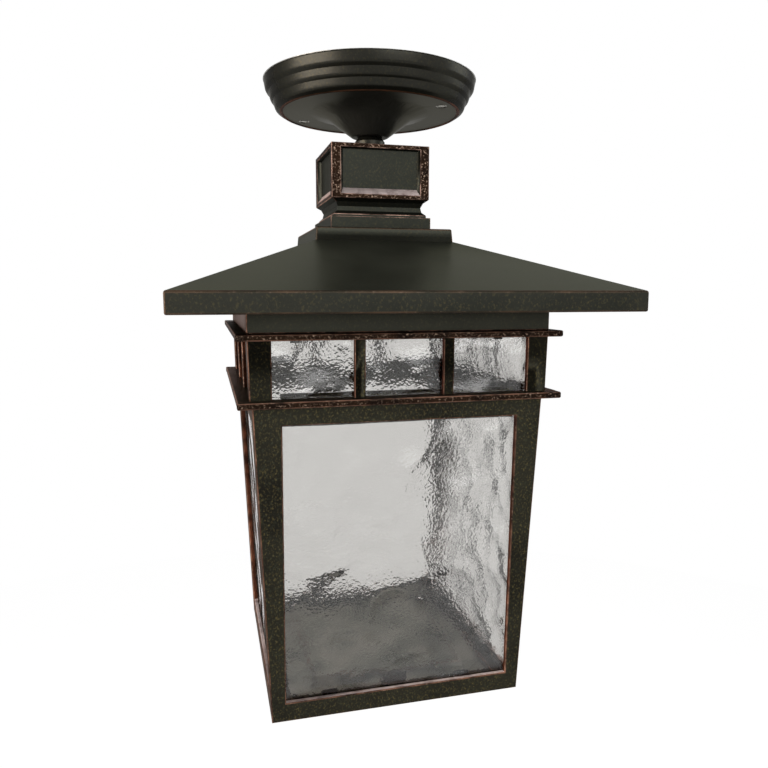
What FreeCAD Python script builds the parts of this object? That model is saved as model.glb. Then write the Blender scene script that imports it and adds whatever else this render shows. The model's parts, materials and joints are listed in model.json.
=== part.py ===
import FreeCAD, Part
import math
import os
import Sketcher

# A porch ceiling lantern in cast metal: a round canopy, a square stem on a threaded nipple, a hip roof
# and a glazed cage of four walls with a hinged bottom. Millimetres, +Z up. The origin is the middle of
# the canopy's rim on the ceiling, and the lantern's front faces -Y.

doc = FreeCAD.newDocument("CeilingLantern")
sheet = doc.addObject("Spreadsheet::Sheet", "sizes")
Vector = FreeCAD.Vector

# Driving dimensions. Heights are measured down from the ceiling.
DIMENSIONS = {
    # canopy
    "canopyRadius": 61.4, "canopyFoot": 52.4, "canopyDepth": 18.0, "canopySkin": 0.8,
    "footBead": 0.8, "footBeadWide": 2.0, "bellRadius": 35.0, "shoulderRadius": 24.0,
    "shoulderDrop": 2.6, "bellTip": 10.4, "bellDepth": 30.6,
    "mountHoleCircle": 88.9, "mountHoleRadius": 2.7, "mountHoleTurn": -38.5,
    # threaded nipples and their hardware
    "nippleRadius": 5.145, "nippleBore": 3.6, "nippleTop": 15.0, "nippleEnd": 53.0,
    "nutAcross": 14.3, "nutHeight": 5.0, "washerRadius": 9.0, "washerThick": 1.0,
    "collarRadius": 8.8, "collarNeck": 7.0, "collarShoulder": 2.6, "runningGap": 0.055, "slipGap": 0.1,
    # stem
    "stemTop": 39.2, "stemHalf": 27.94, "stemFoot": 68.5, "stemPlate": 4.0, "stemCavity": 21.5,
    "panelSide": 5.2, "panelTop": 2.2, "panelSill": 1.9, "panelDepth": 2.4,
    "panelBevel": 1.5, "lintelBevel": 0.65, "sillBevel": 3.6,
    "coveHalf": 24.0, "coveEnd": 77.2, "beadHalf": 26.6, "stepHalf": 28.7, "stepTop": 78.6,
    "plinthTop": 85.4, "plinthHalf": 38.2, "plinthFoot": 38.8, "plinthBase": 92.5,
    "plinthSkin": 4.2,
    # roof
    "eaveHalf": 114.0, "eaveTop": 119.7, "eaveBase": 129.7, "roofSkin": 3.2,
    # cage
    "neckHalf": 78.85, "neckTop": 112.0, "neckBase": 140.05, "neckSkin": 3.0, "footInner": 62.5,
    "lampHole": 42.0,
    "ledgeHalf": 84.2, "ledgeBase": 143.35,
    "bandTopHalf": 78.7, "bandHalf": 78.1, "shelfTop": 172.6, "shelfHalf": 84.06, "shelfBase": 176.0,
    "frameTopHalf": 76.84, "frameHalf": 69.9, "frameBase": 346.7, "wallSkin": 3.2,
    "lightsHalf": 67.1, "mullion": 5.76, "windowHalf": 62.3, "windowTop": 185.8, "windowBase": 336.1,
    "glassThick": 3.0, "glassGap": 0.15, "ribBase": 180.5, "ribHalf": 71.6,
    "lipTop": 339.0, "lipBase": 341.0, "lipReach": 9.0,
    # bottom door and its hinge
    "doorTop": 341.6, "doorThick": 1.8, "doorHalf": 65.6, "doorEdge": 61.0,
    "hingeY": 63.6, "hingeZ": 343.6, "pinRadius": 1.25, "knuckleRadius": 2.0,
    # small screws
    "screwRadius": 1.5, "screwHead": 2.9, "screwHeadHigh": 1.9,
    # lampholder
    "socketTop": 98.5, "socketBase": 146.0, "socketRadius": 19.5, "barrelRadius": 17.5,
    "shellBore": 13.3, "shellSkin": 0.7, "shellTop": 117.7, "shellEnd": 144.5,
    "capRadius": 12.0, "capSlope": 5.0, "capDepth": 12.0, "waistDepth": 14.0, "socketFloor": 17.0,
    "contactRadius": 8.0, "contactThick": 1.2, "socketNippleTop": 90.5, "socketNippleEnd": 107.9,
}
for row, (alias, value) in enumerate(DIMENSIONS.items(), start=1):
    sheet.set(f"A{row}", alias)
    sheet.set(f"B{row}", str(value))
    sheet.setAlias(f"B{row}", alias)
doc.recompute()

# How far an outline that cuts reaches past the solid, and how far one that adds reaches into it.
MARGIN = 5.0
OVERLAP = 1.0
# Small screws, their holes and half the width of the bosses that take them.
SCREW_SIDES = 8
SMALL_SCREW = 1.0
BOSS_HALF = 4.0


class Size:
    """A length with its value in millimetres and the sheet expression that gives it."""

    def __init__(self, value, text):
        self.value = value
        self.text = text

    def __add__(self, other):
        other = as_size(other)
        return Size(self.value + other.value, f"({self.text} + {other.text})")

    def __radd__(self, other):
        return as_size(other) + self

    def __sub__(self, other):
        other = as_size(other)
        return Size(self.value - other.value, f"({self.text} - {other.text})")

    def __rsub__(self, other):
        return as_size(other) - self

    def __mul__(self, other):
        other = as_size(other)
        return Size(self.value * other.value, f"({self.text} * {other.text})")

    def __rmul__(self, other):
        return as_size(other) * self

    def __truediv__(self, other):
        other = as_size(other)
        return Size(self.value / other.value, f"({self.text} / {other.text})")

    def __neg__(self):
        return Size(-self.value, f"(0 - {self.text})")


def as_size(number):
    """A Size from a plain number, or the Size itself."""
    return number if isinstance(number, Size) else Size(float(number), f"{float(number)}")


def size(alias):
    """The named cell of the sheet."""
    return Size(float(DIMENSIONS[alias]), f"sizes.{alias}")


def slope_at(top_half, top_depth, base_half, base_depth, depth):
    """Half width at a depth on a face that tapers from the top to the base."""
    share = (as_size(depth) - top_depth) / (base_depth - top_depth)
    return top_half + (base_half - top_half) * share


# Helpers: sketches and features.

def origin_plane(body, role):
    """One of the body's own origin planes."""
    return next(item for item in body.Origin.OriginFeatures if item.Role == role)


def new_body(label):
    """An empty body whose label names the part's file."""
    body = doc.addObject("PartDesign::Body", label)
    body.Label = label
    return body


def new_sketch(body, role, offset=0):
    """A sketch on an origin plane of its own body, moved along the plane's normal by offset."""
    sketch = body.newObject("Sketcher::SketchObject", f"{body.Name}_sketch")
    sketch.AttachmentSupport = [(origin_plane(body, role), "")]
    sketch.MapMode = "FlatFace"
    sketch.setExpression("AttachmentOffset.Base.z", as_size(offset).text)
    return sketch


def tie(sketch, ties):
    """Adds dimensions bound to the sheet. Each tie is (kind, edge, end, length); a radius has no end."""
    first = sketch.ConstraintCount
    rules = []
    for kind, edge, end, length in ties:
        if kind == "Radius":
            rules.append(Sketcher.Constraint(kind, edge, length.value))
        else:
            rules.append(Sketcher.Constraint(kind, -1, 1, edge, end, length.value))
    sketch.addConstraint(rules)
    for number, (kind, edge, end, length) in enumerate(ties):
        if "sizes." in length.text:
            sketch.renameConstraint(first + number, f"{kind}{edge}_{end}")
            sketch.setExpression(f"Constraints.{kind}{edge}_{end}", length.text)


def draw_outline(sketch, points):
    """A closed outline of straight edges, its corners bound to the sheet."""
    points = [(as_size(x), as_size(y)) for x, y in points]
    places = [Vector(x.value, y.value, 0) for x, y in points]
    first = sketch.GeometryCount
    sketch.addGeometry([Part.LineSegment(*ends) for ends in zip(places, places[1:] + places[:1])], False)
    joins, ties = [], []
    for number, (x, y) in enumerate(points):
        edge, after = first + number, first + (number + 1) % len(points)
        joins.append(Sketcher.Constraint("Coincident", edge, 2, after, 1))
        ties.append(("DistanceX", edge, 1, x))
        ties.append(("DistanceY", edge, 1, y))
    sketch.addConstraint(joins)
    tie(sketch, ties)


def draw_box(sketch, low, high):
    """A rectangle between two corners."""
    draw_outline(sketch, [low, (high[0], low[1]), high, (low[0], high[1])])


def draw_circle(sketch, centre, radius):
    """A circle with its centre and radius bound to the sheet."""
    x, y, radius = as_size(centre[0]), as_size(centre[1]), as_size(radius)
    circle = Part.Circle(Vector(x.value, y.value, 0), Vector(0, 0, 1), radius.value)
    edge = sketch.addGeometry(circle, False)
    tie(sketch, [("DistanceX", edge, 3, x), ("DistanceY", edge, 3, y), ("Radius", edge, 0, radius)])


def draw_screw_hole(sketch, centre, radius):
    """A small screw's hole, eight-sided like the shank that fills it: fasteners this small stay light."""
    x, y, radius = as_size(centre[0]), as_size(centre[1]), as_size(radius)
    corners = [math.radians(360 / SCREW_SIDES * number) for number in range(SCREW_SIDES)]
    draw_outline(sketch, [(x + radius * math.cos(a), y + radius * math.sin(a)) for a in corners])


def refresh(*items):
    """Recomputes the given objects in order."""
    for item in items:
        item.recompute()


def new_feature(body, kind, sketch, suffix):
    """A sketch-based feature of the body."""
    feature = body.newObject(f"PartDesign::{kind}", f"{body.Name}_{suffix}")
    feature.Profile = sketch
    return feature


def pad(body, sketch, length, reversed_=False, symmetric=False):
    """Adds the sketch's outline, drawn out by length."""
    feature = new_feature(body, "Pad", sketch, "pad")
    feature.setExpression("Length", as_size(length).text)
    feature.Reversed = reversed_
    if symmetric:
        feature.SideType = "Symmetric"
    refresh(sketch, feature, body)
    return feature


def pocket(body, sketch, length=None, reversed_=False, symmetric=False):
    """Cuts the sketch's outline to a depth, or right through, and makes sure that it did cut."""
    before = body.Shape.Volume
    feature = new_feature(body, "Pocket", sketch, "pocket")
    if length is None:
        feature.Type = "ThroughAll"
    else:
        feature.setExpression("Length", as_size(length).text)
    feature.Reversed = reversed_
    if symmetric:
        feature.SideType = "Symmetric"
    refresh(sketch, feature, body)
    if body.Shape.Volume >= before - 1e-6:
        raise ValueError(f"{feature.Name} cuts nothing")
    return feature


def revolve(body, sketch, kind="Revolution"):
    """Turns the sketch's outline once round the body's Z axis."""
    feature = new_feature(body, kind, sketch, kind.lower())
    axis = next(item for item in body.Origin.OriginFeatures if item.Role == "Z_Axis")
    feature.ReferenceAxis = (axis, [""])
    feature.Angle = 360
    refresh(sketch, feature, body)
    return feature


def loft(body, sketches, kind="AdditiveLoft"):
    """A ruled loft through the sketches, added to the body or cut from it."""
    feature = new_feature(body, kind, sketches[0], kind.lower())
    feature.Sections = sketches[1:]
    feature.Ruled = True
    refresh(*sketches, feature, body)
    return feature


def polar_copies(body, feature, count):
    """Repeats a feature evenly round the body's Z axis."""
    pattern = body.newObject("PartDesign::PolarPattern", f"{body.Name}_pattern")
    pattern.Originals = [feature]
    axis = next(item for item in body.Origin.OriginFeatures if item.Role == "Z_Axis")
    pattern.Axis = (axis, [""])
    pattern.Angle = 360
    pattern.Occurrences = count
    body.Tip = pattern
    refresh(pattern, body)
    return pattern


def square_sketch(body, half, depth):
    """A square about the lantern's axis on a level plane below the ceiling."""
    sketch = new_sketch(body, "XY_Plane", -as_size(depth))
    half = as_size(half)
    draw_box(sketch, (-half, -half), (half, half))
    return sketch


def circle_sketch(body, radius, depth):
    """A circle about the lantern's axis on a level plane below the ceiling."""
    sketch = new_sketch(body, "XY_Plane", -as_size(depth))
    draw_circle(sketch, (0, 0), radius)
    return sketch


def holes_sketch(body, centres, depth, radius=None):
    """Small screws' holes on a level plane below the ceiling."""
    sketch = new_sketch(body, "XY_Plane", -as_size(depth))
    for centre in centres:
        draw_screw_hole(sketch, centre, size("screwRadius") if radius is None else radius)
    return sketch


def posts_sketch(body, centres, half, depth):
    """Square posts for screws on a level plane below the ceiling."""
    sketch = new_sketch(body, "XY_Plane", -as_size(depth))
    for x, y in centres:
        draw_box(sketch, (x - half, y - half), (x + half, y + half))
    return sketch


def disc(body, radius, top, base, bore=None):
    """A round plate or ring about the Z axis, between two depths."""
    sketch = new_sketch(body, "XY_Plane", -as_size(base))
    draw_circle(sketch, (0, 0), radius)
    if bore is not None:
        draw_circle(sketch, (0, 0), bore)
    return pad(body, sketch, as_size(base) - top)


# Canopy and the hardware that carries the lantern.

# The canopy's wall: how far each corner stands in from the rim and how deep it is, outside and inside.
CANOPY_STEPS = ((0, 0), (1.0, 5.4), (2.9, 7.2), (3.9, 10.8), (5.3, 12.0), (6.6, 15.8))
CANOPY_INSIDE = ((7.3, 15.0), (4.4, 7.6))


def make_canopy():
    """Spun bell: a wall of rounded steps, a bead at the foot, a level ring with the two mounting holes,
    and a trumpet-shaped bell down to the collar."""
    body = new_body("canopy")
    sketch = new_sketch(body, "XZ_Plane")
    rim, foot, skin = size("canopyRadius"), size("canopyFoot"), size("canopySkin")
    level = size("canopyDepth") - size("footBead")
    half_bead = size("footBeadWide") / 2
    bell, tip, base = size("bellRadius"), size("bellTip"), size("bellDepth")
    shoulder, drop = size("shoulderRadius"), size("shoulderDrop")
    bore = size("nippleRadius") + size("slipGap")
    draw_outline(sketch, [(rim - inset, -depth) for inset, depth in CANOPY_STEPS] + [
        (foot, -level),
        (foot - half_bead, -size("canopyDepth")),
        (foot - half_bead * 2, -level),
        (bell, -level),
        (shoulder, -(level + drop + size("footBead"))),
        (tip, -base),
        (bore, -base),
        (bore, -(base - skin)),
        (tip - skin / 2, -(base - skin)),
        (shoulder - skin / 2, -(level + drop + size("footBead") - skin)),
        (bell, -(level - skin)),
        (foot - half_bead, -(level - skin)),
    ] + [(rim - inset, -depth) for inset, depth in CANOPY_INSIDE] + [(rim - skin, 0)])
    revolve(body, sketch)
    turn = math.radians(DIMENSIONS["mountHoleTurn"])
    reach = size("mountHoleCircle") / 2
    hole = new_sketch(body, "XY_Plane")
    draw_circle(hole, (reach * math.cos(turn), reach * math.sin(turn)), size("mountHoleRadius"))
    cut = pocket(body, hole)
    polar_copies(body, cut, 2)
    return body


def make_tube(label, top, end):
    """Hollow threaded tube."""
    body = new_body(label)
    disc(body, size("nippleRadius"), top, end, size("nippleBore"))
    return body


def make_nut(label, top):
    """Plain hexagon nut on the lantern's axis."""
    body = new_body(label)
    corner = size("nutAcross") / (2 * math.cos(math.radians(30)))
    sketch = new_sketch(body, "XY_Plane", -(as_size(top) + size("nutHeight")))
    corners = []
    for number in range(6):
        angle = math.radians(60 * number)
        corners.append((corner * math.cos(angle), corner * math.sin(angle)))
    draw_outline(sketch, corners)
    draw_circle(sketch, (0, 0), size("nippleRadius"))
    pad(body, sketch, size("nutHeight"))
    return body


def make_washer(label, top):
    """Flat ring washer."""
    body = new_body(label)
    disc(body, size("washerRadius"), top, as_size(top) + size("washerThick"), size("nippleRadius"))
    return body


def make_collar():
    """Small round collar between canopy and stem, on which the lantern swivels."""
    body = new_body("swivel_collar")
    sketch = new_sketch(body, "XZ_Plane")
    bore = size("nippleRadius")
    top, base = size("bellDepth"), size("stemTop") - size("slipGap")
    radius = size("collarRadius")
    draw_outline(sketch, [
        (bore, -base),
        (radius, -base),
        (radius, -(top + size("collarShoulder"))),
        (size("collarNeck"), -top),
        (bore, -top),
    ])
    revolve(body, sketch)
    return body


# Stem.

STEM_SCREW_PLACE = 17.6
STEM_BOSS = 14.0
STEM_TAP = 10.0
# The cove's line: how far out from its narrowest, at which share of its height.
COVE = ((1.2, 0.22), (0, 0.5), (0.5, 0.78))


def make_stem():
    """Square column, one casting: a framed panel sunk in each face, a cove, a bead and a square step."""
    body = new_body("stem")
    half, foot, cove = size("stemHalf"), size("stemFoot"), size("coveHalf")
    shaft = square_sketch(body, half, foot)
    pad(body, shaft, foot - size("stemTop"))
    # the cove is tapered stretches close to a quarter round, then the bead and the step
    cove_depth = size("coveEnd") - foot
    levels = [(half, foot)] + [(cove + out, foot + cove_depth * share) for out, share in COVE]
    levels += [(size("beadHalf"), size("coveEnd")), (size("beadHalf"), size("stepTop"))]
    for (upper, upper_depth), (lower, lower_depth) in zip(levels, levels[1:]):
        loft(body, [square_sketch(body, upper, upper_depth), square_sketch(body, lower, lower_depth)])
    step = square_sketch(body, size("stepHalf"), size("plinthTop"))
    pad(body, step, size("plinthTop") - size("stepTop"))
    # hollow from below, open to the roof
    hollow = square_sketch(body, size("stemCavity"), size("stemTop") + size("stemPlate"))
    pocket(body, hollow)
    bosses = posts_sketch(body, quarter_points(STEM_SCREW_PLACE), BOSS_HALF, size("plinthTop"))
    pad(body, bosses, STEM_BOSS)
    taps = holes_sketch(body, quarter_points(STEM_SCREW_PLACE), size("plinthTop"))
    pocket(body, taps, STEM_TAP, reversed_=True)
    bore = circle_sketch(body, size("nippleRadius") + size("runningGap"), size("stemTop"))
    pocket(body, bore, size("stemPlate"))
    # one panel, sunk with bevelled sides, a narrow lintel and a sloping sill, then copied to all four faces
    side, inset = half - size("panelSide"), size("panelBevel")
    top, sill = -(size("stemTop") + size("panelTop")), -(foot - size("panelSill"))
    mouth = new_sketch(body, "XZ_Plane", half)
    draw_box(mouth, (-side, sill), (side, top))
    floor = new_sketch(body, "XZ_Plane", half - size("panelDepth"))
    draw_box(floor, (-(side - inset), sill + size("sillBevel")), (side - inset, top - size("lintelBevel")))
    panel = loft(body, [mouth, floor], "SubtractiveLoft")
    polar_copies(body, panel, 4)
    return body


def quarter_points(reach, other=None):
    """The four points (+-reach, +-other) about the axis."""
    other = reach if other is None else other
    return [(x, y) for x in (-reach, reach) for y in (-other, other)]


# Roof and cage top.

ROOF_SCREW_PLACE = 50.0
STRAP_SCREW_PLACE = 26.0
STRAP_TOP = 97.0
ROOF_TAP = 5.5
WIRE_HOLE = 8.0


def four_sided(body, outline):
    """A solid with four equal sides, from the half outline (half width, depth) that they all share."""
    front = new_sketch(body, "XZ_Plane")
    draw_outline(front, [(half, -depth) for half, depth in outline]
                 + [(-half, -depth) for half, depth in reversed(outline)])
    widest, base = outline[-1]
    pad(body, front, widest * 2, symmetric=True)
    waste = new_sketch(body, "YZ_Plane")
    for side in (-1, 1):
        draw_outline(waste, [(side * half, -depth) for half, depth in outline]
                     + [(side * (widest + MARGIN), -base), (side * (widest + MARGIN), -outline[0][1])])
    pocket(body, waste, symmetric=True)


def make_roof():
    """Hollow hip roof, one casting: a square plinth, four straight slopes and a plain fascia."""
    body = new_body("roof")
    skin, inner = size("roofSkin"), size("eaveHalf") - size("roofSkin")
    four_sided(body, [
        (size("plinthHalf"), size("plinthTop")),
        (size("plinthFoot"), size("plinthBase")),
        (size("eaveHalf"), size("eaveTop")),
        (size("eaveHalf"), size("eaveBase")),
    ])
    # hollow: under the plinth, under the slopes and inside the fascia
    core = new_body("roof_core")
    four_sided(core, [
        (size("plinthHalf") - size("plinthSkin"), size("plinthTop") + skin),
        (size("plinthHalf") - size("plinthSkin"), size("plinthBase") + skin),
        (size("plinthFoot") - skin, size("plinthBase") + skin),
        (inner, size("eaveTop") + skin),
        (inner, size("eaveBase")),
    ])
    hollow = body.newObject("PartDesign::Boolean", "roof_hollow")
    hollow.setObjects([core])
    hollow.Type = "Cut"
    refresh(hollow, body)
    # bosses for the cage top's screws and for the socket's strap, grown up to the underside
    for places, depth in (
        (quarter_points(ROOF_SCREW_PLACE), size("neckTop")),
        ([(-STRAP_SCREW_PLACE, 0), (STRAP_SCREW_PLACE, 0)], as_size(STRAP_TOP)),
    ):
        for place in places:
            boss = pad(body, posts_sketch(body, [place], BOSS_HALF, depth), MARGIN)
            boss.Type = "UpToFirst"
            refresh(boss, body)
        pocket(body, holes_sketch(body, places, depth), ROOF_TAP, reversed_=True)
    wires = circle_sketch(body, WIRE_HOLE, size("plinthTop"))
    pocket(body, wires, skin)
    screws = holes_sketch(body, quarter_points(STEM_SCREW_PLACE), size("plinthTop"))
    pocket(body, screws, skin)
    return body


WALL_SCREW_ALONG = 54.0
WALL_SCREW_IN = 68.6
WALL_BOSS_HALF = 3.4
WALL_BOSS = 8.0
WALL_TAP = 6.5


def wall_screw_points():
    """The eight screws that hold the walls to the cage top, two a side."""
    along, inward = WALL_SCREW_ALONG, WALL_SCREW_IN
    return quarter_points(along, inward) + quarter_points(inward, along)


def make_cage_top():
    """Inverted tray: the plain neck under the roof, its plate with the lamp's hole, and an inner foot
    that the walls are screwed to."""
    body = new_body("cage_top")
    half, skin, base = size("neckHalf"), size("neckSkin"), size("neckBase")
    block = square_sketch(body, half, base)
    pad(body, block, base - size("neckTop"))
    hollow = square_sketch(body, half - skin, size("neckTop") + skin)
    pocket(body, hollow)
    foot = new_sketch(body, "XY_Plane", -base)
    reach, inner = half - skin / 2, size("footInner")
    draw_box(foot, (-reach, -reach), (reach, reach))
    draw_box(foot, (-inner, -inner), (inner, inner))
    pad(body, foot, skin)
    bosses = posts_sketch(body, wall_screw_points(), WALL_BOSS_HALF, base)
    pad(body, bosses, WALL_BOSS)
    taps = holes_sketch(body, wall_screw_points(), base)
    pocket(body, taps, WALL_TAP, reversed_=True)
    lamp = circle_sketch(body, size("lampHole"), size("neckTop"))
    pocket(body, lamp, skin)
    holes = holes_sketch(body, quarter_points(ROOF_SCREW_PLACE), size("neckTop"))
    pocket(body, holes, skin)
    return body


# Walls.

RETAINER_SCREW_ALONG = 42.0
RETAINER_SCREW_DOWN = 1.0
RETAINER_TAP = 2.6
CORNER_TAP = 2.7
TAB_HALF = 6.0
TAB_REACH = 5.2
CLIP_SCREW_IN = 2.6
CLIP_ALONG = 38.0


def frame_half(depth):
    """The lower frame's outer half width at a depth."""
    return slope_at(size("frameTopHalf"), size("shelfBase"), size("frameHalf"), size("frameBase"), depth)


def frame_inner(depth):
    """The lower frame's inner half width at a depth."""
    return frame_half(depth) - size("wallSkin")


def add_side_profile(body, outline, half_length):
    """Adds a cross-section, drawn as (outward half width, depth), run along the wall."""
    sketch = new_sketch(body, "YZ_Plane")
    draw_outline(sketch, [(-as_size(half), -as_size(depth)) for half, depth in outline])
    pad(body, sketch, as_size(half_length) * 2, symmetric=True)


def add_plate(body):
    """The wall's plate in one run: ledge, band, shelf and the tapered frame below it."""
    skin = size("wallSkin")
    add_side_profile(body, [
        (size("ledgeHalf"), size("neckBase")),
        (size("ledgeHalf"), size("ledgeBase")),
        (size("bandTopHalf"), size("ledgeBase")),
        (size("bandHalf"), size("shelfTop")),
        (size("shelfHalf"), size("shelfTop")),
        (size("shelfHalf"), size("shelfBase")),
        (size("frameTopHalf"), size("shelfBase")),
        (size("frameHalf"), size("frameBase")),
        (frame_inner(size("frameBase")), size("frameBase")),
        (frame_inner(size("shelfBase")), size("shelfBase")),
        (size("bandHalf") - skin, size("shelfBase")),
        (size("bandTopHalf") - skin, size("neckBase")),
    ], size("ledgeHalf"))


def trim_ends(body, inset, ledge, corner_start):
    """Cuts the wall's two ends to its outline seen from the front. The front and back walls run to the
    corners, and the side walls stop short by inset, at the others' inner faces."""
    sketch = new_sketch(body, "XZ_Plane")
    far = size("ledgeHalf") + MARGIN
    outline = [
        (far, size("neckBase") - MARGIN),
        (ledge, size("neckBase") - MARGIN),
        (ledge, size("ledgeBase")),
        (size("bandTopHalf") - inset, size("ledgeBase")),
        (size("bandHalf") - inset, size("shelfTop")),
        (ledge, size("shelfTop")),
        (ledge, size("shelfBase")),
        (size("frameTopHalf") - inset, size("shelfBase")),
        (frame_half(size("frameBase") + MARGIN) - inset, size("frameBase") + MARGIN),
        (far, size("frameBase") + MARGIN),
    ]
    for side in (-1, 1):
        draw_outline(sketch, [(side * half, -depth) for half, depth in outline])
    pocket(body, sketch, symmetric=True)
    # behind the band's face the ledges end at the corner, where the side walls' ledges butt
    corner = new_sketch(body, "XY_Plane")
    face = size("bandTopHalf")
    draw_box(corner, (corner_start, -face), (far, 0))
    draw_box(corner, (-far, -face), (-corner_start, 0))
    pocket(body, corner)


def cut_lights(body):
    """The lower window and the band's three equal lights between two mullions."""
    sketch = new_sketch(body, "XZ_Plane")
    draw_box(sketch, (-size("windowHalf"), -size("windowBase")), (size("windowHalf"), -size("windowTop")))
    light = (size("lightsHalf") * 2 - size("mullion") * 2) / 3
    for number in range(3):
        left = (light + size("mullion")) * number - size("lightsHalf")
        draw_box(sketch, (left, -size("shelfTop")), (left + light, -size("ledgeBase")))
    pocket(body, sketch, symmetric=True)


def add_inner_rails(body, lip_length):
    """Inside: the ledge's and shelf's inner edges, the rib that takes the retainer's screws and the lip
    that the lower pane stands on."""
    rib = size("ribHalf")
    add_side_profile(body, [
        (size("bandTopHalf") - OVERLAP, size("neckBase")),
        (size("bandTopHalf") - OVERLAP, size("ledgeBase")),
        (rib, size("ledgeBase")),
        (rib, size("neckBase")),
    ], rib)
    add_side_profile(body, [
        (size("bandHalf") - OVERLAP * 2, size("shelfTop")),
        (frame_inner(size("ribBase")) + OVERLAP, size("ribBase")),
        (rib, size("ribBase")),
        (rib, size("shelfTop")),
    ], rib)
    lip = frame_inner(size("lipTop")) - size("lipReach")
    add_side_profile(body, [
        (frame_inner(size("lipTop")) + OVERLAP, size("lipTop")),
        (frame_inner(size("lipBase")) + OVERLAP, size("lipBase")),
        (lip, size("lipBase")),
        (lip, size("lipTop")),
    ], lip_length)


def add_tabs(body):
    """Two tabs on the ledge with holes for the screws into the cage top."""
    base, top = size("ledgeBase"), size("neckBase")
    inner, reach = size("ribHalf") + OVERLAP, as_size(WALL_SCREW_IN - TAB_REACH)
    outline = new_sketch(body, "XY_Plane", -base)
    for middle in (-WALL_SCREW_ALONG, WALL_SCREW_ALONG):
        draw_box(outline, (middle - TAB_HALF, -inner), (middle + TAB_HALF, -reach))
    pad(body, outline, base - top)
    places = [(-WALL_SCREW_ALONG, -WALL_SCREW_IN), (WALL_SCREW_ALONG, -WALL_SCREW_IN)]
    pocket(body, holes_sketch(body, places, base), base - top, reversed_=True)


def drill_face(body, places, inner, deep):
    """Blind holes for small screws, drilled outwards from an inner face."""
    sketch = new_sketch(body, "XZ_Plane", inner)
    for along, depth in places:
        draw_screw_hole(sketch, (along, -as_size(depth)), SMALL_SCREW)
    pocket(body, sketch, deep, reversed_=True)


def drill_lip(body):
    """Holes through the lip for the glass clips' screws."""
    places = [(side * CLIP_ALONG, -clip_screw_half()) for side in (-1, 1)]
    sketch = holes_sketch(body, places, size("lipTop"), SMALL_SCREW)
    pocket(body, sketch, size("lipBase") - size("lipTop"))


def clip_screw_half():
    """How far out from the lantern's axis the clips' screws stand."""
    return frame_inner(size("lipTop")) - size("lipReach") + CLIP_SCREW_IN


def retainer_screw_depth():
    """How deep the retainers' screws sit, a little below the middle of the rib."""
    return (size("shelfTop") + size("ribBase")) / 2 + RETAINER_SCREW_DOWN


LUG_LONG = 6.6
LUG_HIGH = 4.9
LUG_ROOT = 0.6
LOWER_LUG_IN = 59.0
UPPER_LUG_IN = 64.8


def corner_lugs():
    """The side walls' corner lugs, the lower ones under the lip and the upper ones beside the rib. Each
    has its top and base depth, how far out it starts and ends from the lantern's axis, and how far
    along the wall it reaches, to the front or back wall."""
    lower_base = size("lipBase") + LUG_HIGH
    return (
        (size("lipBase") - LUG_ROOT, lower_base, frame_inner(lower_base) + LUG_ROOT,
         as_size(LOWER_LUG_IN), frame_inner(lower_base)),
        (size("shelfBase") - LUG_ROOT, size("ribBase"), size("ribHalf") + OVERLAP,
         as_size(UPPER_LUG_IN), size("ribHalf")),
    )


def add_corner_lugs(body):
    """Lugs at a side wall's ends, with holes along the wall for the corner screws."""
    for top, base, outer, inner, end in corner_lugs():
        sketch = new_sketch(body, "XY_Plane", -base)
        draw_box(sketch, (end - LUG_LONG, -outer), (end, -inner))
        draw_box(sketch, (-end, -outer), (LUG_LONG - end, -inner))
        pad(body, sketch, base - top)
        holes = new_sketch(body, "YZ_Plane")
        draw_screw_hole(holes, (-(outer + inner) / 2, -(top + base) / 2), SMALL_SCREW)
        pocket(body, holes, symmetric=True)


def corner_screw_places():
    """Half width, depth and seat of the corner screws' holes in the front and back walls."""
    return [((outer + inner) / 2, (top + base) / 2, end) for top, base, outer, inner, end in corner_lugs()]


EAR_PLACE = 20.0
EAR_WIDE = 8.0
EAR_RIM = 0.2


def add_hinge_ears(body):
    """Two ears under the back wall's lip that hold the hinge pin."""
    out, low, round_ = size("hingeY"), size("hingeZ"), size("knuckleRadius") + EAR_RIM
    corner = round_ * math.cos(math.radians(45))
    for middle in (-EAR_PLACE, EAR_PLACE):
        sketch = new_sketch(body, "YZ_Plane", middle)
        wall = frame_inner(size("frameBase")) + LUG_ROOT
        draw_outline(sketch, [(-as_size(y), -as_size(z)) for y, z in (
            (wall, size("lipBase") - LUG_ROOT),
            (wall, low + round_),
            (out, low + round_),
            (out - corner, low + corner),
            (out - round_, low),
            (out - round_, size("lipBase") - LUG_ROOT),
        )])
        pad(body, sketch, EAR_WIDE, symmetric=True)
    bore = new_sketch(body, "YZ_Plane")
    draw_circle(bore, (-out, -low), size("pinRadius"))
    pocket(body, bore, symmetric=True)


def turned(body, turn):
    """Turns a part drawn at the front to its own side of the lantern."""
    body.Placement = FreeCAD.Placement(Vector(0, 0, 0), FreeCAD.Rotation(Vector(0, 0, 1), turn))
    return body


SIDES = (("front", 0, True), ("right", 90, False), ("back", 180, True), ("left", -90, False))


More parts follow.
